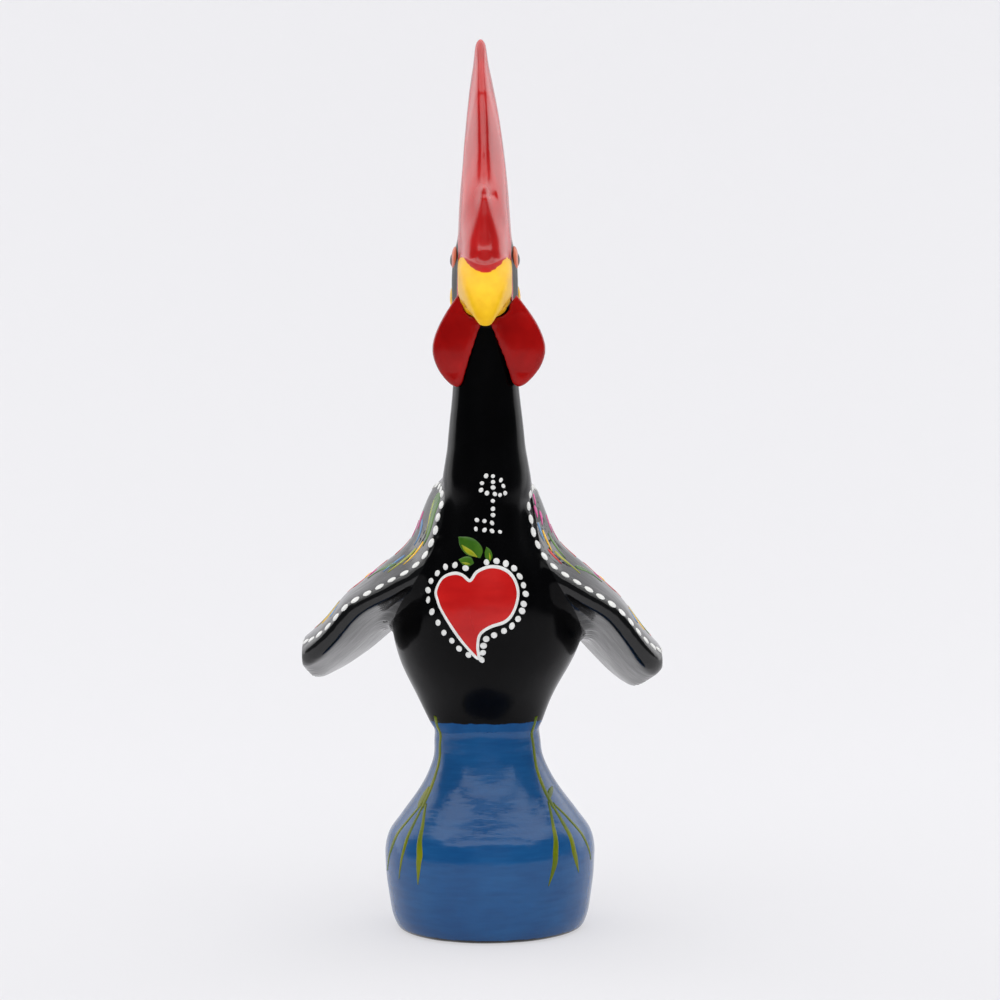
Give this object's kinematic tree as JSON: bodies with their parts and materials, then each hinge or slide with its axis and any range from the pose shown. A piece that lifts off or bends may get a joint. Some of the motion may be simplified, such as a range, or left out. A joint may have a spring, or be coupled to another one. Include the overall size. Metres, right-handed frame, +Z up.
{
  "type": "ceramic rooster ornament",
  "caption": "Free-standing painted earthenware rooster on a hollow bell foot, with hanging wings, a fan tail, a flame comb, a hooked beak and wattles; a rigid shelf ornament.",
  "frame": {"origin": "middle of the ring that the foot stands on", "axes": "+Z up; the rooster faces -Y and its own left side is +X"},
  "size_m": [0.1087, 0.1504, 0.2681],
  "materials": {
    "blue_enamel": "gloss",
    "black_enamel": "gloss",
    "red_enamel": "gloss",
    "yellow_enamel": "gloss",
    "eye_enamel": "gloss",
    "ear_enamel": "gloss"
  },
  "bodies": {
    "root": {"foot": "blue_enamel", "body_left": "black_enamel", "body_right": "black_enamel", "wing_left": "black_enamel", "wing_right": "black_enamel", "tail": "black_enamel", "comb": "red_enamel", "beak_upper": "yellow_enamel", "beak_lower": "yellow_enamel", "wattle_left": "red_enamel", "wattle_right": "red_enamel", "eye_left": "eye_enamel", "eye_right": "eye_enamel", "ear_left": "ear_enamel", "ear_right": "ear_enamel"}
  },
  "joints": []
}
